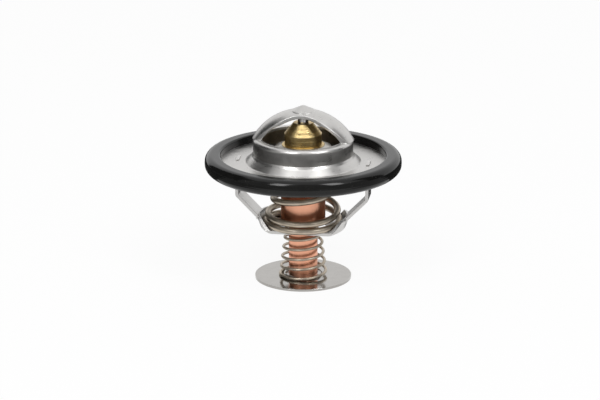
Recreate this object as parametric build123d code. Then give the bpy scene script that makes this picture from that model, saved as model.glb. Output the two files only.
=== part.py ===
from build123d import *
import os
from math import cos, pi, sin, sqrt

# A wax-element engine thermostat with a bypass valve. Millimetres, +Z up.
#
# The origin is the centre of the bypass disc's underside, on which the thermostat stands.
# The bridge of the upper frame and the two legs of the lower frame lie along X.
# The element is every piece that sinks when the wax melts: it hangs on the piston, which
# pushes up into the bridge, and the main spring holds its valve shut against the neck.

# ---------------------------------------------------------------- driving dimensions
# Upper frame: one drawn sheet with a flange, a flared neck, a lip and a domed bridge.
sheet = 1.0                 # thickness of the sheet
flange_z = 41.4             # top face of the flange above the bypass disc's underside
flange_r = 31.2
flare_r = 18.9              # where the flare meets the flange, outer face
flare_rise = 1.8            # height at which the flare ends in a soft crest
crest_r = 17.6              # outer radius of that crest
neck_r = 17.05              # outer radius of the neck above the crest
neck_rise = 8.4             # height of the neck's inward lip above the flange
lip_fold = 1.3              # radius of the fold between the neck and its lip
window_r = 14.3             # inner edge of the lip
arch_r = 19.6               # outer radius of the bridge's arch
arch_rise = 9.95            # top of the arch above the neck's lip
crown_r = 10.0              # radius across the bridge, which is drawn round for stiffness
bridge_w = 9.4              # width of the bridge at its middle
arm_w = 12.0                # width of its arms where they are widest
arm_x = 8.5                 # how far from the middle that is
root_w = 10.0               # width of the arms where they meet the neck
root_x = 15.5
lip_cut = 1.7               # wall left outside the cut under each arm, in thicknesses
cone_r = 4.0                # drawn cone in the middle, which takes the piston's end
cone_top_r = 0.6
cone_rise = 1.25            # top of the cone above the arch

# Gasket: a rubber ring whose groove takes the flange's edge.
gasket_out = 2.3            # rubber beyond the flange's edge
gasket_in = 3.1             # rubber over the flange
gasket_above = 2.65         # above the flange's top face
gasket_below = 2.2          # below its underside
gasket_bead = 2.4           # radius of the outer edges
gasket_lip = 0.8            # radius of the inner edges

# Lower frame: one pressing, a shallow cup for the main spring with two legs.
strap = 1.05                # thickness of the sheet
base_z = 17.7               # underside of the cup above the bypass disc's underside
base_w = 17.8               # width of the cup's floor, across the legs
cup_foot_r = 14.4           # outer radius of the cup's wall at its foot
cup_top_r = 15.9
cup_h = 4.6                 # height of the cup's wall
ear_w = 12.6                # width of the wall at its top
leg_w = 8.0
leg_x = 22.85               # outer face of the upright legs
leg_knee_rise = 11.7        # knee above the cup's underside
tab_w = 5.0                 # tabs that go through the flange and are staked over it
tab_stand = 0.35
fold_r = 1.1                # radius of the folds, at mid thickness

# Element: copper capsule, brass guide and what they hold.
tip_z = 0.15                # capsule's tip above the bypass disc's underside
bulb_r = 4.95
bulb_len = 19.45
shoulder_r = 0.7            # radius of the capsule's shoulder
body_r = 7.6
body_len = 23.9
capsule_wall = 0.8
tip_wall = 2.6
rim_r = 8.3                 # rim of the capsule, crimped over the guide's flange
rim_t = 0.7
crimp_over = 0.35
guide_flange_r = 7.7
guide_flange_t = 1.5
guide_boss_r = 7.25         # boss that stands through the collar
guide_boss_rise = 1.2
guide_r = 6.35
guide_neck = 3.9            # straight part of the guide above its boss
guide_cone = 3.8
guide_top_r = 3.3
piston_r = 1.85
piston_len = 35.9
piston_edge = 0.2           # chamfer round its lower end
boot_r = 3.2
boot_flange_t = 0.5
boot_end = 1.0              # rubber below the piston's end
backup_r = 4.4
backup_t = 0.6
seal_r = 3.1
seal_t = 1.3
seal_rise = 0.9             # seal's lower face above the guide's flange

# Main valve and its collar.
valve_t = 1.0
valve_lip = 1.7             # how far the rim is turned up
valve_flat_z = 41.2         # top face of the flat part
valve_cone_foot_r = 12.6
valve_hub_r = 10.7
valve_fold = 0.8            # radius of its folds, at mid thickness
collar_r = 9.7
collar_h = 2.9              # straight height of the collar, below its sloping lip
collar_bore_r = 7.4         # inner edge of that lip, which holds the capsule's rim down
collar_rise = 0.9

# Bypass disc, its clip and the groove that holds the clip.
disc_r = 16.5
disc_t = 0.8
boss_r = 7.0                # raised middle of the disc
disc_fold = 0.4             # radius of its folds, at mid thickness
groove_r = 4.3
clip_r = 5.9
clip_t = 0.5
clip_gap_deg = 55
clip_rise = 0.25            # clip above the capsule's tip

# Springs. Both wires start behind. The bypass spring lies nearly flat for part of a turn.
spring_start_deg = 130      # where they start, round Z
coil_points = 8             # points a turn on the smooth curve of the wire
main_wire = 2.2
main_foot_r = 12.6          # radius of the wire's centre line in the cup
main_lap_r = 11.9           # where the close turn on it ends
main_waist_r = 9.75         # one turn further
main_top_r = 9.25
main_turns = 4.8
main_lap_turns = 1.4
main_end_pitch = 2.25       # pitch of the close turns at either end
bypass_wire = 1.0
bypass_foot_r = 7.85
bypass_top_r = 5.65
bypass_turns = 5.6
bypass_flat_turns = 0.4
bypass_flat_rise = 0.17

# Clearances.
slide_gap = 0.05            # piston in its guide, seal and boot, and the disc on the bulb
guide_gap = 0.3             # capsule in the base of the lower frame
fit_gap = 0.02              # pieces that are pressed or crimped together
seat_gap = 0.03             # pieces on different bodies that meet face to face

# ---------------------------------------------------------------- places worked out
flange_under = flange_z - sheet
gasket_r = flange_r + gasket_out
gasket_bore_r = flange_r - gasket_in
lip_z = flange_z + neck_rise
arch_z = lip_z + arch_rise - arch_r
arch_top = arch_z + arch_r
cone_z = arch_top + cone_rise
cone_foot_z = arch_z + sqrt(arch_r ** 2 - cone_r ** 2)
cone_slope = (cone_z - cone_foot_z) / (cone_r - cone_top_r)
cone_under = cone_z - sheet * sqrt(1 + cone_slope ** 2)
piston_top = cone_under - seat_gap
piston_foot = piston_top - piston_len

shoulder_z = tip_z + bulb_len
rim_z = shoulder_z + body_len
guide_z = rim_z + rim_t + boot_flange_t
guide_shelf = guide_z + guide_flange_t
guide_boss_top = guide_shelf + guide_boss_rise
guide_shoulder = guide_boss_top + guide_neck
guide_top = guide_shoulder + guide_cone
bore_r = piston_r + slide_gap
boot_foot = piston_foot - boot_end

flare_lean = (flare_r + sheet - crest_r) / (flare_rise + sheet / 2)

clip_z = tip_z + clip_rise
boss_under = clip_z + clip_t + seat_gap
base_top = base_z + strap
valve_hub_z = rim_z


def revolved(outline):
    """Turn a closed outline of (radius, height) points round Z."""
    with BuildPart() as part:
        with BuildSketch(Plane.XZ):
            with BuildLine():
                Polyline(*outline, close=True)
            make_face()
        revolve(axis=Axis.Z)
    return part.part


def pressed(points, radii, thickness):
    """Turn a bent sheet round Z, given the corners of its middle line and their fold radii."""
    with BuildPart() as part:
        with BuildSketch(Plane.XZ):
            with BuildLine() as line:
                FilletPolyline(*points, radius=radii)
            trace(line.line, line_width=thickness)
        revolve(axis=Axis.Z)
    return part.part


def bridge():
    """Arched and crowned band over the neck, waisted in the middle, with the piston's cone."""
    ridge = arch_top - sheet / 2
    drop = crown_r - sqrt(crown_r ** 2 - (arm_w / 2) ** 2)
    under_foot_r = cone_top_r + (cone_under - arch_top + sheet) / cone_slope
    with BuildPart() as part:
        with BuildSketch(Plane.YZ):
            with BuildLine() as line:
                ThreePointArc((-arm_w / 2, ridge - drop), (0, ridge), (arm_w / 2, ridge - drop))
            trace(line.line, line_width=sheet)
        revolve(axis=Axis((0, 0, arch_z), (0, 1, 0)))
        with BuildSketch(Plane.XY.offset(lip_z - sheet / 2)) as plan:
            with BuildLine():
                edge = Spline(
                    (-root_x, root_w / 2), (-arm_x, arm_w / 2), (0, bridge_w / 2),
                    (arm_x, arm_w / 2), (root_x, root_w / 2))
                Polyline(edge @ 1, (arch_r, root_w / 2), (arch_r, 0), (-arch_r, 0),
                         (-arch_r, root_w / 2), edge @ 0)
            make_face()
            mirror(about=Plane.XZ)
        extrude(amount=2 * arch_rise, mode=Mode.INTERSECT)
    drill = revolved([(0, arch_top - 2 * sheet), (under_foot_r, arch_top - 2 * sheet),
                      (under_foot_r, cone_z), (0, cone_z)])
    cone = revolved([(under_foot_r, arch_top - sheet), (cone_r, arch_top - sheet),
                     (cone_r, cone_foot_z), (cone_top_r, cone_z), (0, cone_z),
                     (0, cone_under), (cone_top_r, cone_under)])
    return part.part - drill + cone


def upper_frame():
    """Flange, flared neck, lip and bridge, drawn from one sheet."""
    half = sheet / 2
    frame = pressed(
        [
            (flange_r, flange_z - half),
            (flare_r + half, flange_z - half),
            (crest_r - half, flange_z + flare_rise),
            (neck_r - half, flange_z + flare_rise + sheet),
            (neck_r - half, lip_z - half),
            (window_r, lip_z - half),
        ],
        [sheet, sheet, half, lip_fold - half],
        sheet,
    )
    frame += bridge()
    for side in (-1, 1):
        lip = Box(neck_r, root_w, 2 * sheet, align=(Align.MAX, Align.CENTER, Align.MAX))
        frame -= lip.moved(
            Location((side * (neck_r - lip_cut * sheet), 0, lip_z), (0, 0, 90 * (1 - side))))
        slot = Box(strap + 2 * fit_gap, tab_w + 2 * fit_gap, 3 * sheet)
        frame -= slot.moved(Location((side * (leg_x - strap / 2), 0, flange_z)))
    return frame


def flange_gasket():
    """Rubber ring with a groove for the flange's edge."""
    low = flange_under - gasket_below
    high = flange_z + gasket_above
    with BuildPart() as part:
        with BuildSketch(Plane.XZ) as section:
            with Locations(((gasket_bore_r + gasket_r) / 2, (low + high) / 2)):
                Rectangle(gasket_r - gasket_bore_r, high - low)
            outer = section.vertices().group_by(Axis.X)[-1]
            fillet(outer, gasket_bead)
            inner = section.vertices().group_by(Axis.X)[0]
            fillet(inner, gasket_lip)
            with Locations(((gasket_bore_r + flange_r) / 2, flange_z - sheet / 2)):
                Rectangle(flange_r - gasket_bore_r + 2 * fit_gap, sheet, mode=Mode.SUBTRACT)
        revolve(axis=Axis.Z)
    return part.part


def lower_frame():
    """Cup that carries the main spring and guides the capsule, and the legs it hangs on."""
    half = strap / 2
    leg_mid = leg_x - half
    cup_z = base_z + cup_h
    wall_lean = (cup_top_r - cup_foot_r) / (cup_h - half)
    with BuildPart() as part:
        add(pressed(
            [
                (body_r, base_z + half),
                (cup_foot_r - half, base_z + half),
                (cup_top_r - half, cup_z),
            ],
            [fold_r],
            strap,
        ))
        with BuildSketch(Plane.YZ) as front:
            with BuildLine():
                Polyline(
                    (-base_w / 2, base_z - strap),
                    (-base_w / 2, base_z + strap),
                    (-ear_w / 2, cup_z + strap),
                    (ear_w / 2, cup_z + strap),
                    (base_w / 2, base_z + strap),
                    (base_w / 2, base_z - strap),
                    close=True,
                )
            make_face()
        extrude(amount=2 * cup_top_r, both=True, mode=Mode.INTERSECT)
        with BuildSketch(Plane.XZ) as side:
            with BuildLine() as line:
                FilletPolyline(
                    (cup_top_r - half - strap * wall_lean, cup_z - strap),
                    (cup_top_r - half, cup_z),
                    (leg_mid, base_z + leg_knee_rise),
                    (leg_mid, flange_z + tab_stand),
                    radius=fold_r,
                )
            trace(line.line, line_width=strap)
            mirror(about=Plane.YZ)
        extrude(amount=leg_w / 2, both=True)
        with Locations((0, 0, base_z)):
            Cylinder(body_r + guide_gap, cup_h, mode=Mode.SUBTRACT)
        for y in (-1, 1):
            with Locations((0, y * (tab_w + leg_w) / 2, flange_under)):
                Box(3 * leg_x, leg_w, 4 * sheet, align=(Align.CENTER, Align.CENTER, Align.MIN),
                    mode=Mode.SUBTRACT)
    return part.part


def copper_capsule():
    """Stepped cup for the wax. Its rim is crimped over the guide's flange."""
    bulb_bore = bulb_r - capsule_wall
    body_bore = body_r - capsule_wall
    cup_bore = guide_flange_r + fit_gap
    with BuildPart() as part:
        with BuildSketch(Plane.XZ) as section:
            with BuildLine():
                Polyline(
                    (0, tip_z),
                    (bulb_r, tip_z),
                    (bulb_r, shoulder_z),
                    (body_r, shoulder_z),
                    (body_r, rim_z),
                    (rim_r, rim_z),
                    (rim_r, guide_shelf + fit_gap),
                    (rim_r - crimp_over, guide_shelf + crimp_over),
                    (cup_bore - crimp_over, guide_shelf + crimp_over),
                    (cup_bore, guide_shelf - crimp_over + fit_gap),
                    (cup_bore, rim_z + rim_t),
                    (body_bore, rim_z + rim_t),
                    (body_bore, shoulder_z + capsule_wall),
                    (bulb_bore, shoulder_z + capsule_wall),
                    (bulb_bore, tip_z + tip_wall),
                    (0, tip_z + tip_wall),
                    close=True,
                )
            make_face()
            shoulder = section.vertices().filter_by(
                lambda v: abs(v.X - body_r) < 0.01 and abs(v.Y - shoulder_z) < 0.01)
            fillet(shoulder, shoulder_r)
            with Locations((groove_r, clip_z - fit_gap)):
                Rectangle(bulb_r, clip_t + 2 * fit_gap, align=(Align.MIN, Align.MIN), mode=Mode.SUBTRACT)
        revolve(axis=Axis.Z)
    return part.part


def brass_guide():
    """Turned guide: a flange, a boss, a neck and a cone with the piston's bore."""
    body = revolved(
        [
            (bore_r, guide_z),
            (guide_flange_r, guide_z),
            (guide_flange_r, guide_shelf - crimp_over),
            (guide_flange_r - crimp_over, guide_shelf),
            (guide_boss_r, guide_shelf),
            (guide_boss_r, guide_boss_top),
            (guide_r, guide_boss_top),
            (guide_r, guide_shoulder),
            (guide_top_r, guide_top),
            (bore_r, guide_top),
        ]
    )
    body -= Cylinder(backup_r + fit_gap, backup_t, align=(Align.CENTER, Align.CENTER, Align.MIN)).moved(
        Location((0, 0, guide_z)))
    body -= Cylinder(seal_r + fit_gap, seal_t, align=(Align.CENTER, Align.CENTER, Align.MIN)).moved(
        Location((0, 0, guide_shelf + seal_rise)))
    return body


def ring(outer, inner, height, z):
    """Plain ring, from z upwards."""
    return (Cylinder(outer, height, align=(Align.CENTER, Align.CENTER, Align.MIN))
            - Cylinder(inner, height, align=(Align.CENTER, Align.CENTER, Align.MIN))).moved(Location((0, 0, z)))


def piston():
    """Polished pin, with a blunt point that sits in the bridge's cone."""
    blunt = cone_slope * (piston_r - cone_top_r)
    return revolved(
        [
            (0, piston_foot),
            (piston_r - piston_edge, piston_foot),
            (piston_r, piston_foot + piston_edge),
            (piston_r, piston_top - blunt),
            (cone_top_r, piston_top),
            (0, piston_top),
        ]
    )


def rubber_boot():
    """Sleeve round the piston. The wax squeezes it, and its flange seals the capsule."""
    return revolved(
        [
            (0, boot_foot),
            (boot_r, boot_foot),
            (boot_r, rim_z + rim_t),
            (guide_flange_r, rim_z + rim_t),
            (guide_flange_r, guide_z),
            (bore_r, guide_z),
            (bore_r, piston_foot - slide_gap),
            (0, piston_foot - slide_gap),
        ]
    )


def wax_charge():
    """Wax that fills the capsule round the boot."""
    bulb_bore = bulb_r - capsule_wall - fit_gap
    body_bore = body_r - capsule_wall - fit_gap
    floor_z = tip_z + tip_wall + fit_gap
    step_z = shoulder_z + capsule_wall + fit_gap
    top_z = rim_z + rim_t - fit_gap
    return revolved(
        [
            (0, floor_z),
            (bulb_bore, floor_z),
            (bulb_bore, step_z),
            (body_bore, step_z),
            (body_bore, top_z),
            (boot_r + fit_gap, top_z),
            (boot_r + fit_gap, boot_foot - fit_gap),
            (0, boot_foot - fit_gap),
        ]
    )


def main_valve():
    """Pressed disc: a raised hub that carries the capsule's rim, and a rim that shuts the neck."""
    half = valve_t / 2
    flat = valve_flat_z - half
    edge = half * sqrt(0.5)
    corner_z = flat + valve_lip - edge
    seat_r = (flare_r + sheet / 2 - (corner_z - flange_z + sheet / 2) * flare_lean
              - sheet / 2 * sqrt(1 + flare_lean ** 2))
    rim = seat_r - seat_gap * sqrt(1 + flare_lean ** 2) - edge
    return pressed(
        [
            (rim, flat + valve_lip),
            (rim - valve_lip, flat),
            (valve_cone_foot_r, flat),
            (valve_hub_r, valve_hub_z - half),
            (body_r + fit_gap, valve_hub_z - half),
        ],
        [valve_fold] * 3,
        valve_t,
    )


def valve_collar():
    """Steel ring on the valve's hub. Its lip slopes in over the capsule's crimped rim."""
    crimp_top = guide_shelf + crimp_over + fit_gap
    return revolved(
        [
            (rim_r + fit_gap, valve_hub_z),
            (collar_r, valve_hub_z),
            (collar_r, valve_hub_z + collar_h),
            (collar_bore_r, valve_hub_z + collar_h + collar_rise),
            (collar_bore_r, crimp_top),
            (rim_r + fit_gap, crimp_top),
        ]
    )


def bypass_disc():
    """Thin valve disc with a raised middle that hides the clip."""
    half = disc_t / 2
    return pressed(
        [
            (disc_r, half),
            (boss_r, half),
            (boss_r - disc_t, boss_under + half),
            (bulb_r + 2 * slide_gap, boss_under + half),
        ],
        [disc_fold] * 2,
        disc_t,
    )


def bypass_clip():
    """Open ring that snaps into the capsule's groove."""
    clip = ring(clip_r, groove_r + fit_gap, clip_t, clip_z)
    opening = Box(2 * clip_r, 2 * clip_r * sin(clip_gap_deg * pi / 360), 3 * clip_t,
                  align=(Align.MIN, Align.CENTER, Align.CENTER))
    return clip - opening.moved(Location((0, 0, clip_z)))


def wound(stations, wire):
    """Sweep round wire along a right-handed coil through (turn, radius, height) stations.

    Between stations the radius and the height are read off straight lines, and the smooth
    curve through the points rounds the joins."""
    first, last = stations[0][0], stations[-1][0]
    count = round((last - first) * coil_points)
    points = []
    for index in range(count + 1):
        turn = first + (last - first) * index / count
        for (t0, r0, z0), (t1, r1, z1) in zip(stations, stations[1:]):
            if turn <= t1 + 1e-9:
                break
        share = (turn - t0) / (t1 - t0)
        radius = r0 + (r1 - r0) * share
        height = z0 + (z1 - z0) * share
        angle = 2 * pi * turn + spring_start_deg * pi / 180
        points.append((radius * cos(angle), radius * sin(angle), height))
    path = Spline(*points)
    section = Plane(origin=path @ 0, z_dir=path % 0) * Circle(wire / 2)
    return sweep(section, path=path, is_frenet=True)


def main_spring():
    """Conical spring: a wide foot in the lower frame's cup, a narrow end under the valve's hub."""
    low = base_top + main_wire / 2 + seat_gap
    high = valve_hub_z - valve_t - main_wire / 2 - seat_gap
    lap_z = low + main_lap_turns * main_end_pitch
    pitch = (high - main_end_pitch - lap_z) / (main_turns - main_lap_turns - 1)
    return wound(
        [
            (0, main_foot_r, low),
            (main_lap_turns, main_lap_r, lap_z),
            (main_lap_turns + 1, main_waist_r, lap_z + pitch),
            (main_turns - 1, main_top_r, high - main_end_pitch),
            (main_turns, main_top_r, high),
        ],
        main_wire,
    )


def bypass_spring():
    """Slightly conical spring between the capsule's shoulder and the bypass disc."""
    low = disc_t + bypass_wire / 2 + seat_gap
    high = shoulder_z - bypass_wire / 2 - seat_gap
    return wound(
        [
            (0, bypass_foot_r, low),
            (bypass_flat_turns, bypass_foot_r, low + bypass_flat_rise * bypass_wire),
            (bypass_turns, bypass_top_r, high),
        ],
        bypass_wire,
    )


pieces = {
    "upper_frame": upper_frame(),
    "flange_gasket": flange_gasket(),
    "lower_frame": lower_frame(),
    "piston": piston(),
    "main_spring": main_spring(),
    "brass_guide": brass_guide(),
    "copper_capsule": copper_capsule(),
    "valve_collar": valve_collar(),
    "main_valve": main_valve(),
    "rubber_boot": rubber_boot(),
    "backup_ring": ring(backup_r, bore_r, backup_t, guide_z),
    "piston_seal": ring(seal_r, bore_r, seal_t, guide_shelf + seal_rise),
    "wax_charge": wax_charge(),
    "bypass_clip": bypass_clip(),
    "bypass_spring": bypass_spring(),
    "bypass_disc": bypass_disc(),
}

os.makedirs("parts", exist_ok=True)
for name, solid in pieces.items():
    export_step(solid, f"parts/{name}.step")
    print(name, "volume", round(solid.volume, 1), "mm3")
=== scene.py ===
# %% [markdown]
# # Dressing an engine thermostat
#
# A wax thermostat is a small machine of sheet steel, rubber, copper, brass and spring wire.
# Its solids are ready: each is exact in size and place, but plain. In this lesson each piece
# gets the finish that its real counterpart has, and the pieces that solids only sketch, such
# as the coiled wire and the moulded rubber, are made again as finer surfaces.
#
# Everything is in metres, in the frame of the solids: +Z is up, and the origin is the centre
# of the bypass disc's underside, on which the thermostat stands.

import bmesh
import bpy
import numpy as np
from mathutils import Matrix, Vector


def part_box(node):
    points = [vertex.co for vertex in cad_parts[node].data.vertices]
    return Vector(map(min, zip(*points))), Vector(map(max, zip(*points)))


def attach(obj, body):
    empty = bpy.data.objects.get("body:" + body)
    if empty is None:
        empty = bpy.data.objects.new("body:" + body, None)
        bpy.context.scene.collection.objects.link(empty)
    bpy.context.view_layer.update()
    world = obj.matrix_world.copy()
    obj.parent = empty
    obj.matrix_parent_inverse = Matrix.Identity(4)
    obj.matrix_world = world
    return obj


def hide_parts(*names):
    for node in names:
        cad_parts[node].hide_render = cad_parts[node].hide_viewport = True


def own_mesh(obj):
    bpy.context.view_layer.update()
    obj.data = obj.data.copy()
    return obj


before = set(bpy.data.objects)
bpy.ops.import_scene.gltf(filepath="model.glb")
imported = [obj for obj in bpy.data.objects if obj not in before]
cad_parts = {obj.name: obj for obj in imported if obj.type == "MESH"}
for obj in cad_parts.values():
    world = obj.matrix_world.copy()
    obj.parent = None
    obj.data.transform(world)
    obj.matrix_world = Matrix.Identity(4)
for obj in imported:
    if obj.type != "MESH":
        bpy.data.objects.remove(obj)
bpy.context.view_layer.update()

mm = 0.001
print("pieces:", ", ".join(sorted(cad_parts)))

# %% [markdown]
# ## The camera
#
# The thermostat is seen from a little above, with its bridge and legs nearly square to the
# view. A long lens from about a metre away keeps the rims nearly true ellipses, as a product
# picture does. The camera looks at the origin, and the lens is shifted a little so that the
# thermostat sits in the middle of the picture: a shift moves the picture without tilting it.

# %% A camera that looks at the origin
view_side = 8.0
view_azimuth = np.radians(view_side)
view_elevation = np.radians(18.97)
view_distance = 1.1471
eye = view_distance * np.array([
    np.cos(view_elevation) * np.sin(view_azimuth),
    -np.cos(view_elevation) * np.cos(view_azimuth),
    np.sin(view_elevation)])
camera = bpy.data.objects.new("camera", bpy.data.cameras.new("camera"))
bpy.context.scene.collection.objects.link(camera)
bpy.context.scene.camera = camera
camera.location = eye
camera.rotation_euler = Vector(-eye).to_track_quat("-Z", "Y").to_euler()
camera.data.sensor_width = 36.0
camera.data.lens = 200.0
picture_width, picture_height = 600, 400
origin_column, origin_row = 303.2, 276.0
camera.data.shift_x = (picture_width / 2 - origin_column) / picture_width
camera.data.shift_y = (origin_row - picture_height / 2) / picture_width
print("the camera is", round(view_distance, 3), "m from the origin")

# %% [markdown]
# ## Helpers for materials
#
# A node material is a small graph. Writing it by hand means making a node, setting its
# properties, and filling or linking its sockets, over and over. One helper does the three in
# one line, so that each finish below reads like its recipe. A second helper starts a
# material and gives back its tree and its Principled shader.

# %% One line for each node
def add(tree, kind, sockets=None, **settings):
    """Adds a shader node. settings are its properties; sockets are its inputs' values or links."""
    made = tree.nodes.new("ShaderNode" + kind)
    for name, value in settings.items():
        setattr(made, name, value)
    for name, value in (sockets or {}).items():
        if isinstance(value, bpy.types.NodeSocket):
            tree.links.new(value, made.inputs[name])
        else:
            made.inputs[name].default_value = value
    return made


def start_material(name):
    """A new material, with its node tree and its Principled shader."""
    material = bpy.data.materials.new(name)
    material.use_nodes = True
    tree = material.node_tree
    return material, tree, tree.nodes["Principled BSDF"]


def blend_colours(tree, share, low, high):
    """low where share is 0, high where it is 1; each is a colour or a link."""
    mix = add(tree, "Mix", data_type="RGBA")
    tree.links.new(share, mix.inputs[0])
    for slot, value in ((6, low), (7, high)):
        if isinstance(value, bpy.types.NodeSocket):
            tree.links.new(value, mix.inputs[slot])
        else:
            mix.inputs[slot].default_value = (*value, 1.0)
    return mix.outputs[2]


def spread(tree, value, low, high, from_low=0.0, from_high=1.0):
    """Carries value from the range from_low..from_high to the range low..high, and stops there."""
    return add(tree, "MapRange", {
        "Value": value, "From Min": from_low, "From Max": from_high,
        "To Min": low, "To Max": high}).outputs["Result"]


def put_on(node, material):
    """Gives a solid its finish, in place of any that it had."""
    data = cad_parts[node].data
    data.materials.clear()
    data.materials.append(material)


print("helpers are ready")

# %% [markdown]
# ## From a grid of points to a mesh
#
# The springs and the gasket are surfaces of two parameters. Each is worked out as one array
# of points, rows by columns, and one helper turns such a grid into a mesh. Where a parameter
# goes right round, its last row or column joins the first. Rows that shrink to a point, such
# as the ends of a wire, are merged there, so the skin is closed.

# %% Grids, meshes and pieces
def grid_faces(rows, columns, round_rows, round_columns):
    """Corner numbers of every cell of the grid, four to a face."""
    row = np.arange(rows if round_rows else rows - 1)[:, None]
    column = np.arange(columns if round_columns else columns - 1)[None, :]
    next_row, next_column = (row + 1) % rows, (column + 1) % columns
    cells = [row * columns + column, row * columns + next_column,
             next_row * columns + next_column, next_row * columns + column]
    return np.stack(np.broadcast_arrays(*cells), axis=-1).reshape(-1, 4)


def skin(name, points, round_rows=False, round_columns=False, uv=None):
    """A mesh object from points[row, column], smooth, with its doubles merged and, where it is
    given, uv[row, column] as its UV map."""
    rows, columns = points.shape[:2]
    faces = grid_faces(rows, columns, round_rows, round_columns)
    mesh = bpy.data.meshes.new(name)
    mesh.from_pydata(points.reshape(-1, 3).tolist(), [], faces.tolist())
    if uv is not None:
        layer = mesh.uv_layers.new(name="along")
        laid = uv.reshape(-1, 2)[faces.reshape(-1)]
        layer.data.foreach_set("uv", laid.astype(np.float32).ravel())
    work = bmesh.new()
    work.from_mesh(mesh)
    bmesh.ops.remove_doubles(work, verts=work.verts, dist=1e-7)
    bmesh.ops.recalc_face_normals(work, faces=work.faces)
    work.to_mesh(mesh)
    work.free()
    mesh.polygons.foreach_set("use_smooth", np.ones(len(mesh.polygons), bool))
    piece = bpy.data.objects.new(name, mesh)
    bpy.context.scene.collection.objects.link(piece)
    return piece


def dress(piece, material, body, stands_for):
    """Gives a new piece its finish and the body it rides on, and hides the solid that it stands
    for.
    """
    piece.data.materials.append(material)
    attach(piece, body)
    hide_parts(stands_for)
    print(piece.name, len(piece.data.polygons), "faces")


# %% [markdown]
# ## The studio
#
# The thermostat stands on a pale floor under soft light. The floor and the world are plain
# white to the camera, to mirrors and to glass, while what they give off as light is weaker:
# Light Path tells which kind of ray is asking. The floor is part white glow and part plain
# matte paint, so that the shadow under the thermostat stays on it. It rides on the bypass
# disc, which is what stands on it: when the element sinks or the disc is pressed up, the
# floor stays under the disc.
#
# Polished metal shows its surroundings more than its own colour. In an all-white room it
# turns flat and pale, so photographers stand black cards beside the lamps. Here cards that
# only reflections see do the same: they give the steel its dark bands. Some stand round the
# thermostat, as parts of a sphere, and some lie on the floor.

# %% The floor and the world
def background_share(tree):
    """1 for the camera, reflections and glass, and 0 for light that falls on things."""
    path = add(tree, "LightPath").outputs
    seen = add(tree, "Math", {0: path["Is Camera Ray"], 1: path["Is Glossy Ray"]},
               operation="MAXIMUM").outputs[0]
    return add(tree, "Math", {0: seen, 1: path["Is Transmission Ray"]},
               operation="MAXIMUM").outputs[0]


bpy.context.scene.view_settings.view_transform = "Standard"
world = bpy.data.worlds.new("studio")
bpy.context.scene.world = world
world.use_nodes = True
world_light = 0.50
strength = spread(world.node_tree, background_share(world.node_tree), world_light, 1.0)
world.node_tree.nodes["Background"].inputs["Color"].default_value = (1.0, 1.0, 1.0, 1.0)
world.node_tree.links.new(strength, world.node_tree.nodes["Background"].inputs["Strength"])

floor_white, floor_glow = 0.93, 0.92
floor_paint, tree, shader = start_material("floor_paint")
tree.nodes.remove(shader)
matte = add(tree, "BsdfDiffuse", {"Color": (floor_white, floor_white, floor_white, 1.0)})
glow = add(tree, "Emission", {"Color": (1.0, 1.0, 1.0, 1.0), "Strength": 1.0})
glow_share = spread(tree, background_share(tree), 0.0, floor_glow)
paint = add(tree, "MixShader", {0: glow_share, 1: matte.outputs[0], 2: glow.outputs[0]})
tree.links.new(paint.outputs[0], tree.nodes["Material Output"].inputs["Surface"])

floor_reach = 6.0
corners = floor_reach * np.array([[-1, -1, 0], [1, -1, 0], [1, 1, 0], [-1, 1, 0]], float)
floor_mesh = bpy.data.meshes.new("floor")
floor_mesh.from_pydata(corners.tolist(), [], [(0, 1, 2, 3)])
floor_mesh.materials.append(floor_paint)
floor = bpy.data.objects.new("floor", floor_mesh)
bpy.context.scene.collection.objects.link(floor)
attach(floor, "bypass")
print("the floor is", 2 * floor_reach, "m wide")


# %% Lamps and cards
def direction(azimuth_deg, elevation_deg):
    """Unit vectors from the origin; azimuth 0 is the front, and goes round to the right."""
    a, e = np.broadcast_arrays(np.radians(azimuth_deg), np.radians(elevation_deg))
    return np.stack([np.cos(e) * np.sin(a), -np.cos(e) * np.cos(a), np.sin(e)], axis=-1)


def softbox(name, azimuth_deg, elevation_deg, distance, width, height, power):
    """A rectangular lamp that faces the thermostat."""
    lamp = bpy.data.lights.new(name, "AREA")
    lamp.shape, lamp.size, lamp.size_y, lamp.energy = "RECTANGLE", width, height, power
    placed = bpy.data.objects.new(name, lamp)
    bpy.context.scene.collection.objects.link(placed)
    aim = direction(azimuth_deg, elevation_deg)
    placed.location = distance * aim
    placed.rotation_euler = Vector(-aim).to_track_quat("-Z", "Y").to_euler()
    return placed


lamp_width, lamp_height = 0.33, 0.72
lamp_distance = 1.3
lamp_elevation = 47
lamp_power = 5.4
for name, turn in (("left_softbox", -33), ("right_softbox", 43)):
    softbox(name, view_side + turn, lamp_elevation, lamp_distance, lamp_width, lamp_height,
            lamp_power)


def card_paint(name, level):
    """A grey that glows by itself, so that it looks the same wherever the lamps stand."""
    material, tree, shader = start_material(name)
    tree.nodes.remove(shader)
    glow = add(tree, "Emission", {"Color": (level, level, level, 1.0), "Strength": 1.0})
    tree.links.new(glow.outputs[0], tree.nodes["Material Output"].inputs["Surface"])
    return material


def card(name, points, paint):
    """A card through a grid of points, that only reflections see."""
    placed = skin(name, points)
    placed.data.materials.append(paint)
    placed.visible_camera = False
    placed.visible_diffuse = False
    placed.visible_shadow = False
    placed.visible_transmission = False
    return placed


def floor_card(name, points, paint):
    """A card that lies just above the floor and stays there."""
    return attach(card(name, points, paint), "bypass")


def curved(azimuths_deg, elevations_deg, distance=1.9):
    """Part of a sphere between two azimuths, counted from the view's side, and two elevations."""
    across, upward = 33, 13
    azimuth = view_side + np.linspace(*azimuths_deg, across)
    return distance * direction(azimuth[:, None], np.linspace(*elevations_deg, upward)[None, :])


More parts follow.
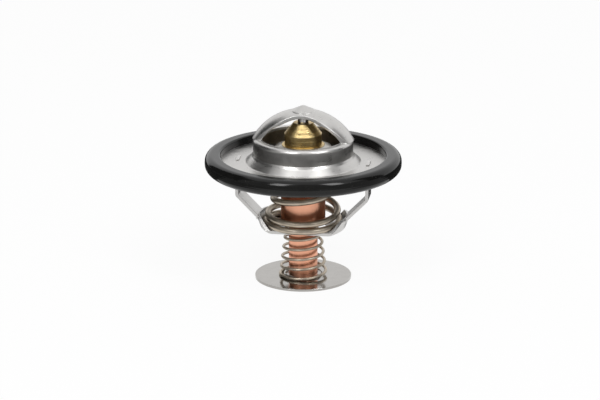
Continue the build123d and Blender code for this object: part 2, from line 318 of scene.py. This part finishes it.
def lying(near, far, left=-1.2, right=1.2):
    """A rectangle just above the floor: how far it reaches towards the view, and across it."""
    above_floor = 0.3 * mm
    ahead, aside = direction(view_side, 0), direction(view_side + 90, 0)
    reach = np.linspace(near, far, 2)[:, None, None]
    across = np.linspace(left, right, 2)[None, :, None]
    return reach * ahead + across * aside + np.array([0.0, 0.0, above_floor])


black_paint = card_paint("black_card", 0.04)
dark_paint = card_paint("dark_card", 0.20)
grey_paint = card_paint("grey_card", 0.34)
light_paint = card_paint("light_card", 0.38)
side, left_end, high_right, right_end = 80, -140, 55, 105
low_top, high_top, side_top = 32, 62, 55
card("front_low_card", curved((-side, side), (0, low_top)), grey_paint)
card("front_high_card", curved((-side, high_right), (low_top, high_top)), light_paint)
card("left_card", curved((left_end, -side), (0, side_top)), black_paint)
card("right_card", curved((side, right_end), (0, side_top)), black_paint)
front_edge, back_edge, side_edge, far_edge = 0.175, -0.032, 0.10, 1.2
floor_card("front_floor_card", lying(front_edge, 1.6), grey_paint)
floor_card("left_floor_card", lying(back_edge, front_edge, -far_edge, -side_edge), dark_paint)
floor_card("right_floor_card", lying(back_edge, front_edge, side_edge, far_edge), grey_paint)
floor_card("rear_floor_card", lying(-far_edge, back_edge), black_paint)
print("two lamps and eight cards")

# %% [markdown]
# ## Marks that every metal piece shares
#
# Three things tell real metal from a perfect solid. Its edges are a little rounded and rubbed
# bright, its surface keeps the marks of the tool that shaped it, and its gloss varies from
# place to place. The Bevel node rounds a sharp edge in the shading alone: where its normal
# departs from the face's own normal there is an edge, so it also tells where metal is rubbed.
# Tool marks are noise that is stretched one way: round the axis for what is turned or drawn
# in a round die, and along one direction for sheet that comes off the rolls.

# %% Edges, turned marks and rolled grain
noise_low, noise_high = 0.35, 0.65      # most of a noise's values lie between these
edge_match, face_match = 0.93, 0.997    # how well normals agree on an edge, and off it
patch_shade = 0.94                      # a dull patch's colour, as a share of the metal's own


def rounded_edge(tree, radius):
    """(normal with edges rounded to radius, share that is 1 on an edge and 0 away from it)."""
    soft = add(tree, "Bevel", {"Radius": radius}, samples=6).outputs[0]
    own = add(tree, "NewGeometry").outputs["Normal"]
    match = add(tree, "VectorMath", {0: soft, 1: own}, operation="DOT_PRODUCT").outputs["Value"]
    return soft, spread(tree, match, 1.0, 0.0, edge_match, face_match)


def from_axis(tree, place):
    """How far each point is from the Z axis."""
    flat = add(tree, "VectorMath", {0: place, 1: (1.0, 1.0, 0.0)}, operation="MULTIPLY").outputs[0]
    return add(tree, "VectorMath", {0: flat}, operation="LENGTH").outputs["Value"]


def turned_marks(tree, place, pitch, detail=3.0, drift=0.02):
    """Noise in rings round Z. Its vector is (x, y) * drift and z, and its fourth number is the
    distance from the axis, so it changes fast across the rings and slowly along them."""
    squeezed = add(tree, "VectorMath", {0: place, 1: (drift, drift, 1.0)},
                   operation="MULTIPLY").outputs[0]
    return add(tree, "TexNoise", {"Vector": squeezed, "W": from_axis(tree, place),
                                  "Scale": 1.0 / pitch, "Detail": detail},
               noise_dimensions="4D").outputs["Fac"]


def rolled_grain(tree, place, pitch, along=(0.03, 1.0, 1.0)):
    """Noise drawn out along one direction, as on rolled sheet."""
    squeezed = add(tree, "VectorMath", {0: place, 1: along}, operation="MULTIPLY").outputs[0]
    return add(tree, "TexNoise", {"Vector": squeezed, "Scale": 1.0 / pitch,
                                  "Detail": 4.0}).outputs["Fac"]


def clouds(tree, place, size, detail=3.0):
    """Even noise whose features are about size across."""
    return add(tree, "TexNoise", {"Vector": place, "Scale": 1.0 / size,
                                  "Detail": detail}).outputs["Fac"]


def bump(tree, height, depth, normal=None):
    """Normal for a surface whose height varies by about depth."""
    sockets = {"Height": height, "Distance": depth, "Strength": 1.0}
    if normal is not None:
        sockets["Normal"] = normal
    return add(tree, "Bump", sockets).outputs[0]


# Brown painted shade, for the inside of the neck.
shade_brown = (0.34, 0.30, 0.235)


def metal(name, colour, rubbed, gloss, marks, depth, edge=0.12 * mm, mottle=3.0 * mm, painted_shade_share=None):
    """Bare metal. colour and rubbed are its faces and its edges, gloss the roughness where it is
    smooth and where it is dull, and marks(tree, place) the tool marks, depth deep. Where it is
    given, the last argument, of (tree, place), is the share of brown painted shade on it."""
    material, tree, shader = start_material(name)
    place = add(tree, "TexCoord").outputs["Object"]
    soft, on_edge = rounded_edge(tree, edge)
    line = marks(tree, place)
    patch = clouds(tree, place, mottle)
    shade = blend_colours(tree, spread(tree, patch, 0.0, 1.0, noise_low, noise_high),
                          [patch_shade * c for c in colour], colour)
    tint = blend_colours(tree, on_edge, shade, rubbed)
    # Painted shade: a brown shade is painted over the colour where it is asked for.
    if painted_shade_share is not None:
        tint = blend_colours(tree, painted_shade_share(tree, place), tint, shade_brown)
    tree.links.new(tint, shader.inputs["Base Color"])
    shader.inputs["Metallic"].default_value = 1.0
    both = add(tree, "Math", {0: line, 1: patch}, operation="ADD").outputs[0]
    tree.links.new(spread(tree, both, gloss[0], gloss[1], 0.6, 1.4), shader.inputs["Roughness"])
    tree.links.new(bump(tree, line, depth, soft), shader.inputs["Normal"])
    return material


print("metal recipe is ready")

# %% [markdown]
# ## Drawn stainless steel
#
# The upper frame starts as a flat disc of stainless sheet. A press draws the neck and the
# bridge out of it, which leaves the flat flange with a fine rolled grain and the neck with
# faint rings where the sheet slid over the die. Both marks are shallow: they break up the
# reflections more than they can be seen themselves. The rings are mixed in only near the
# neck, by the distance from the axis. Inside the neck a brown shade is painted on the steel.

# %% The upper frame
neck_reach = 19.5 * mm                  # outside this the flange is flat
neck_inside = 16.3 * mm                 # just outside the neck's inner face
lip_under = 48.8 * mm                   # height of the neck's lip, on its underside


def drawn_marks(tree, place):
    """Rings on the neck and rolled grain on the flange, changing over near the flare."""
    on_flange = spread(tree, from_axis(tree, place), 0.0, 1.0, neck_reach, neck_reach + 1.5 * mm)
    rings = turned_marks(tree, place, 0.30 * mm)
    grain = rolled_grain(tree, place, 0.12 * mm)
    return add(tree, "Mix", {0: on_flange, 2: rings, 3: grain}).outputs[0]


def inside_neck_shade(tree, place):
    """1 inside the neck, where a brown shade is painted, and 0 outside."""
    height = add(tree, "SeparateXYZ", {0: place}).outputs["Z"]
    within = spread(tree, from_axis(tree, place), 1.0, 0.0,
                    neck_inside - 0.2 * mm, neck_inside + 0.2 * mm)
    below = spread(tree, height, 1.0, 0.0, lip_under - 0.2 * mm, lip_under + 0.3 * mm)
    return add(tree, "Math", {0: within, 1: below}, operation="MULTIPLY").outputs[0]


# Painted shade: the inside of the neck is painted a darker brown.
frame_steel = metal("frame_steel", (0.60, 0.59, 0.575), (0.84, 0.83, 0.81), (0.24, 0.40),
                    drawn_marks, 0.006 * mm, edge=0.30 * mm, painted_shade_share=inside_neck_shade)
put_on("upper_frame", frame_steel)
print("upper_frame is drawn steel")

# %% [markdown]
# ## Bent strap, valve and small steel pieces
#
# The lower frame and the clip are blanked from strip and bent. They were tumbled afterwards,
# so their grain is soft and their edges are bright. The main valve and its collar are pressed
# and turned, and the valve's dark brown colour is painted shade. The bypass disc is thin
# polished sheet, almost a mirror.

# %% The other steel pieces
strap_steel = metal("strap_steel", (0.66, 0.65, 0.635), (0.86, 0.85, 0.83), (0.26, 0.42),
                    lambda tree, place: rolled_grain(tree, place, 0.14 * mm, (1.0, 0.05, 1.0)),
                    0.004 * mm, edge=0.15 * mm)
put_on("lower_frame", strap_steel)
put_on("bypass_clip", strap_steel)

# Painted shade: the valve's dark brown colour stands for the shade inside the frame.
valve_steel = metal("valve_steel", (0.27, 0.245, 0.21), (0.42, 0.39, 0.35), (0.28, 0.42),
                    lambda tree, place: turned_marks(tree, place, 0.25 * mm), 0.004 * mm)
put_on("main_valve", valve_steel)

collar_steel = metal("collar_steel", (0.66, 0.64, 0.60), (0.82, 0.80, 0.76), (0.28, 0.42),
                     lambda tree, place: turned_marks(tree, place, 0.16 * mm), 0.004 * mm)
put_on("valve_collar", collar_steel)

disc_steel = metal("disc_steel", (0.42, 0.405, 0.385), (0.66, 0.65, 0.63), (0.07, 0.20),
                   lambda tree, place: rolled_grain(tree, place, 0.10 * mm), 0.0015 * mm)
put_on("bypass_disc", disc_steel)

polished_steel = metal("polished_steel", (0.70, 0.69, 0.68), (0.85, 0.84, 0.83), (0.06, 0.14),
                       lambda tree, place: turned_marks(tree, place, 0.08 * mm), 0.001 * mm)
put_on("piston", polished_steel)
print("six steel pieces are finished")

# %% [markdown]
# ## Turned brass
#
# The guide is turned from bar. The tool leaves fine rings, and a few deeper ones where it
# dwelt, so two sizes of ring noise are laid over each other. They hardly drift along a ring,
# for a lathe's rings are true, and they are deep enough to catch the lamps. Brass is yellow
# in its light reflections and brown in its dark ones, which a metallic base colour does by
# itself.

# %% The brass guide
def lathe_marks(tree, place):
    """Fine rings, with coarser ones over them."""
    fine = turned_marks(tree, place, 0.14 * mm, drift=0.002)
    coarse = turned_marks(tree, place, 0.55 * mm, detail=1.0, drift=0.002)
    return add(tree, "Mix", {0: 0.5, 2: fine, 3: coarse}).outputs[0]


brass = metal("brass", (0.74, 0.56, 0.26), (0.92, 0.76, 0.44), (0.24, 0.36), lathe_marks,
              0.24 * mm)
put_on("brass_guide", brass)
print("brass_guide is turned brass")

# %% [markdown]
# ## Drawn copper
#
# The capsule is a deep-drawn copper cup. Drawing leaves long fine lines along its height and
# a satin gloss, and handling dulls it in soft patches. The lines are noise drawn out along Z,
# and the patches are the same bright pink metal, only slightly darker.

# %% The copper capsule
def draw_lines(tree, place):
    """Fine lines up and down the cup's wall, with soft rings over them."""
    lines = rolled_grain(tree, place, 0.16 * mm, (1.0, 1.0, 0.03))
    rings = turned_marks(tree, place, 0.6 * mm)
    return add(tree, "Mix", {0: 0.4, 2: lines, 3: rings}).outputs[0]


copper = metal("copper", (0.95, 0.475, 0.31), (0.96, 0.60, 0.44), (0.26, 0.38), draw_lines,
               0.006 * mm, mottle=5.0 * mm)
put_on("copper_capsule", copper)
print("copper_capsule is drawn copper")

# %% [markdown]
# ## What is hidden in the capsule
#
# The boot and the seal are black rubber, the backup ring is a slippery white plastic, and the
# charge is wax with a little copper powder in it, which carries the heat inwards. None of
# them shows while the capsule is whole, but each has its own finish, for a cut view.

# %% The hidden pieces
def soft_solid(name, dark, light, gloss, grain, depth):
    """A matte solid: clouds between two colours, with a fine bumpy grain."""
    material, tree, shader = start_material(name)
    place = add(tree, "TexCoord").outputs["Object"]
    patch = clouds(tree, place, 12 * grain)
    fine = clouds(tree, place, grain)
    tree.links.new(blend_colours(tree, patch, dark, light), shader.inputs["Base Color"])
    tree.links.new(spread(tree, fine, gloss[0], gloss[1], 0.3, 0.7), shader.inputs["Roughness"])
    tree.links.new(bump(tree, fine, depth), shader.inputs["Normal"])
    return material


inner_rubber = soft_solid("inner_rubber", (0.010, 0.010, 0.010), (0.030, 0.029, 0.027),
                          (0.45, 0.65), 0.20 * mm, 0.02 * mm)
slippery_plastic = soft_solid("slippery_plastic", (0.70, 0.69, 0.65), (0.82, 0.81, 0.78),
                              (0.25, 0.35), 0.15 * mm, 0.005 * mm)
wax = soft_solid("wax", (0.42, 0.20, 0.10), (0.62, 0.36, 0.20), (0.35, 0.55), 0.12 * mm, 0.03 * mm)
put_on("rubber_boot", inner_rubber)
put_on("piston_seal", inner_rubber)
put_on("backup_ring", slippery_plastic)
put_on("wax_charge", wax)
print("hidden pieces are finished")

# %% [markdown]
# ## Spring wire
#
# A coil spring is round wire wound on a mandrel. Its middle line is a helix whose radius and
# height change with the turns, and its skin is a circle carried along that line. The last
# turns lie closer than the others, and the very ends are ground flat so that the spring
# stands square. Grinding is the simplest part: points beyond the flat are moved back to it.
#
# The wire was drawn through a die, so its marks run along it. They follow the wire's own UV
# map, which counts millimetres along the wire and round it. The steel is a warm grey, darker
# than the sheet, and rubbed a little brighter in patches.

# %% A coil with ground ends
start_angle = np.radians(130.0)


def coil(stations, wire, floor_z, ceiling_z, sink, lean=(0.0, 0.0), steps_a_turn=72, sides=20):
    """Skin of a coil through (turn, radius, height, leaning) stations, straight between them and
    then averaged over a quarter turn. A point is middle + wire / 2 * (cos v * out + sin v * up),
    where out points away from the axis and up is square to it and to the wire. The height gains
    leaning * (lean . out). The ends sink by sink over the last half turn and are cut at floor_z
    and ceiling_z."""
    turns, radii, heights, leanings = (np.array(column, float) for column in zip(*stations))
    count = int(round((turns[-1] - turns[0]) * steps_a_turn)) + 1
    turn = np.linspace(turns[0], turns[-1], count)
    quarter = steps_a_turn // 4 + 1
    window = np.ones(quarter) / quarter
    margin = len(window) // 2

    def smooth(values):
        """The stations' values along the wire, averaged. Past the ends they carry on by odd
        mirror images, which keeps the ends where they are."""
        padded = np.pad(np.interp(turn, turns, values), margin, mode="reflect",
                        reflect_type="odd")
        return np.convolve(padded, window, mode="valid")

    radius, height, leaning = smooth(radii), smooth(heights), smooth(leanings)
    angle = 2 * np.pi * turn + start_angle
    height = height + leaning * (lean[0] * np.cos(angle) + lean[1] * np.sin(angle))
    height = height - sink * np.clip(1 - 2 * (turn - turns[0]), 0, 1)
    height = height + sink * np.clip(1 - 2 * (turns[-1] - turn), 0, 1)
    middle = np.stack([radius * np.cos(angle), radius * np.sin(angle), height], axis=1)
    along = np.gradient(middle, axis=0)
    along /= np.linalg.norm(along, axis=1, keepdims=True)
    out = np.stack([np.cos(angle), np.sin(angle), np.zeros(count)], axis=1)
    up = np.cross(along, out)
    up /= np.linalg.norm(up, axis=1, keepdims=True)
    out = np.cross(up, along)
    v = np.linspace(0, 2 * np.pi, sides, endpoint=False)
    closing = np.ones(count)
    closing[[0, -1]] = 0.0
    half = wire / 2 * closing[:, None, None]
    ring = np.cos(v)[None, :, None] * out[:, None] + np.sin(v)[None, :, None] * up[:, None]
    middle[0], middle[-1] = middle[1], middle[-2]
    points = middle[:, None] + half * ring
    points[..., 2] = np.clip(points[..., 2], floor_z, ceiling_z)
    gone = np.concatenate([[0.0], np.cumsum(np.linalg.norm(np.diff(middle, axis=0), axis=1))])
    uv = np.stack(np.broadcast_arrays(gone[:, None] / mm, (v * wire / 2)[None, :] / mm), axis=-1)
    return points, uv


# %% The main spring
seat_gap = 0.03 * mm
cup_floor = 18.75 * mm
spring_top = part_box("main_spring")[1].z
wire = 2.2 * mm
main_turns = 4.8
end_pitch = 2.25 * mm
lap_turns, lap_pitch = 1.4, 2.1 * mm    # the close turns in the cup
tip_turns = 0.15                        # the bit at the start that turns in a little
tip_radius, foot_radius, lap_radius = 12.55 * mm, 12.6 * mm, 11.9 * mm
step_radius, waist_radius, top_radius = 10.1 * mm, 9.75 * mm, 9.25 * mm
low, high = cup_floor + seat_gap + wire / 2, spring_top - wire / 2
lap_z = low + lap_turns * lap_pitch
free_pitch = (high - end_pitch - lap_z) / (main_turns - lap_turns - 1)
spring_lean = (-0.6 * mm, 0.6 * mm)
main_sink = 0.3 * mm
points, uv = coil(
    [(0, tip_radius, low, 0.0),
     (tip_turns, foot_radius, low + tip_turns * lap_pitch, 1.0),
     (lap_turns, lap_radius, lap_z, 1.0),
     (lap_turns + 0.25, lap_radius, lap_z + 0.25 * free_pitch, 1.0),
     (lap_turns + 0.75, step_radius, lap_z + 0.75 * free_pitch, 0.3),
     (lap_turns + 1, waist_radius, lap_z + free_pitch, 0.0),
     (main_turns - 1, top_radius, high - end_pitch, 0.0),
     (main_turns, top_radius, high, 0.0)],
    wire, cup_floor + seat_gap, spring_top, main_sink, spring_lean)
main_coil = skin("main_coil", points, round_columns=True, uv=uv)

# %% The bypass spring
thin_wire = 1.0 * mm
flat_turns, flat_rise = 0.4, 0.17 * thin_wire
thin_turns = 5.6
thin_foot_radius, thin_top_radius = 7.85 * mm, 5.65 * mm
thin_sink = 0.2 * mm
coil_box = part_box("bypass_spring")
low, high = coil_box[0].z + thin_wire / 2, coil_box[1].z - thin_wire / 2
points, uv = coil(
    [(0, thin_foot_radius, low, 0.0),
     (flat_turns, thin_foot_radius, low + flat_rise, 0.0),
     (thin_turns, thin_top_radius, high, 0.0)],
    thin_wire, coil_box[0].z, coil_box[1].z, thin_sink)
bypass_coil = skin("bypass_coil", points, round_columns=True, uv=uv)


# %% Drawn wire as a finish
def wire_finish(name, colour, rubbed):
    """Drawn spring wire: marks that run along it, by its own UV map in millimetres."""
    material, tree, shader = start_material(name)
    place = add(tree, "TexCoord").outputs["Object"]
    along = add(tree, "UVMap", uv_map="along").outputs[0]
    lines = rolled_grain(tree, along, 1.0, (0.25, 6.0, 0.0))
    patch = clouds(tree, place, 2.5 * mm)
    worn = spread(tree, patch, 0.0, 1.0, noise_low, noise_high)
    tree.links.new(blend_colours(tree, worn, colour, rubbed), shader.inputs["Base Color"])
    shader.inputs["Metallic"].default_value = 1.0
    tree.links.new(spread(tree, lines, 0.30, 0.46, 0.3, 0.7), shader.inputs["Roughness"])
    tree.links.new(bump(tree, lines, 0.006 * mm), shader.inputs["Normal"])
    return material


spring_steel = wire_finish("spring_steel", (0.47, 0.405, 0.32), (0.58, 0.51, 0.42))
dress(main_coil, spring_steel, "frame", "main_spring")
dress(bypass_coil, spring_steel, "element", "bypass_spring")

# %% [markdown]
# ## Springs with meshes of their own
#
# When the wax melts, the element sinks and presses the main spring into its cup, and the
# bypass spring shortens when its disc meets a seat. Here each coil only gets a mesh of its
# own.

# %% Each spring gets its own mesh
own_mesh(main_coil)
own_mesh(bypass_coil)

# %% [markdown]
# ## The rubber gasket
#
# The gasket is a moulded ring with a groove, stretched over the edge of the flange. Its
# section is a rectangle with large rounds outside and small ones inside, cut by the groove.
# The mould closes half way up, and leaves a fine line of rubber there, a little heavier at
# its two vents. The section is worked out once, as straight runs with arcs at its corners,
# and carried round the axis.

# %% A section with rounded corners
def rounded_section(corners, radii, arc_steps=10, run_steps=6):
    """Points of a closed outline. At each corner an arc of the given radius touches both
    sides: its centre lies radius / sin(half the corner's angle) along the corner's bisector."""
    spots = np.array(corners, float)
    pieces = []
    ends = []
    for index, radius in enumerate(radii):
        corner = spots[index]
        back = spots[index - 1] - corner
        ahead = spots[(index + 1) % len(spots)] - corner
        back, ahead = back / np.linalg.norm(back), ahead / np.linalg.norm(ahead)
        half = np.arccos(np.clip(back @ ahead, -1, 1)) / 2
        middle = (back + ahead) / np.linalg.norm(back + ahead)
        centre = corner + middle * radius / np.sin(half)
        first, last = corner + back * radius / np.tan(half), corner + ahead * radius / np.tan(half)
        share = np.linspace(0, 1, arc_steps)[:, None]
        sweep = np.pi - 2 * half
        arc = (np.sin((1 - share) * sweep) * (first - centre)
               + np.sin(share * sweep) * (last - centre)) / np.sin(sweep) + centre
        ends.append((first, last))
        pieces.append(arc)
    outline = []
    for index, arc in enumerate(pieces):
        outline.append(arc)
        away = ends[(index + 1) % len(pieces)][0]
        share = np.linspace(0, 1, run_steps + 2)[1:-1, None]
        outline.append(arc[-1] + share * (away - arc[-1]))
    return np.concatenate(outline)


# %% The gasket's skin
gasket_low, gasket_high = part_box("flange_gasket")
rubber_edge = gasket_high.x
rubber_bore = 28.1 * mm
flange_edge = 31.2 * mm
sheet = 1.0 * mm
flange_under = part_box("upper_frame")[0].z
flange_top = flange_under + sheet
groove_play = 0.02 * mm
outer_round, inner_round, nick = 2.4 * mm, 0.8 * mm, 0.10 * mm
section = rounded_section(
    [(rubber_bore, gasket_low.z), (rubber_edge, gasket_low.z), (rubber_edge, gasket_high.z),
     (rubber_bore, gasket_high.z), (rubber_bore, flange_top),
     (flange_edge + groove_play, flange_top), (flange_edge + groove_play, flange_under),
     (rubber_bore, flange_under)],
    [inner_round, outer_round, outer_round, inner_round, nick, nick, nick, nick])
sides_round = 256
turn = np.linspace(0, 2 * np.pi, sides_round, endpoint=False)[:, None]
parting_z = (gasket_low.z + gasket_high.z) / 2
parting_mm, vent_mm = 0.035, 0.06       # how far the line stands out, and how much more at a vent
parting_width, vent_width = 0.16 * mm, 0.03
outer_face = rubber_edge - 0.5 * mm     # the line runs only on what lies outside this
vent = np.exp(-((np.abs(np.sin(turn)) / vent_width) ** 2))
from_line = (section[None, :, 1] - parting_z) / parting_width
flash = (parting_mm + vent_mm * vent) * mm * np.exp(-from_line ** 2)
flash = flash * (section[None, :, 0] > outer_face)
reach = section[None, :, 0] + flash
points = np.stack([reach * np.cos(turn), reach * np.sin(turn),
                   np.broadcast_to(section[None, :, 1], reach.shape)], axis=-1)
gasket = skin("gasket", points, round_rows=True, round_columns=True)

# %% [markdown]
# ## Moulded rubber
#
# Black rubber is not black all over: it is a very dark grey that shows a soft sheen where it
# faces away, and it picks up dust. Its gloss comes from the mould, fine and a little uneven.
# The colour is clouds between two dark greys with a few pale specks of dust, and the bump is
# fine clouds.

# %% The rubber's finish
rubber, tree, shader = start_material("rubber")
place = add(tree, "TexCoord").outputs["Object"]
fine = clouds(tree, place, 0.18 * mm)
patch = clouds(tree, place, 4.0 * mm)
speck = spread(tree, clouds(tree, place, 0.5 * mm, 1.0), 0.0, 0.5, 0.74, 0.80)
dark_rubber, pale_rubber = (0.0035, 0.0035, 0.0033), (0.008, 0.008, 0.0074)
dust = (0.12, 0.12, 0.115)
body_colour = blend_colours(tree, patch, dark_rubber, pale_rubber)
shader.inputs["Specular IOR Level"].default_value = 0.30
tree.links.new(blend_colours(tree, speck, body_colour, dust), shader.inputs["Base Color"])
tree.links.new(spread(tree, patch, 0.09, 0.15, noise_low, noise_high),
               shader.inputs["Roughness"])
tree.links.new(bump(tree, fine, 0.003 * mm), shader.inputs["Normal"])
dress(gasket, rubber, "frame", "flange_gasket")
put_on("flange_gasket", rubber)
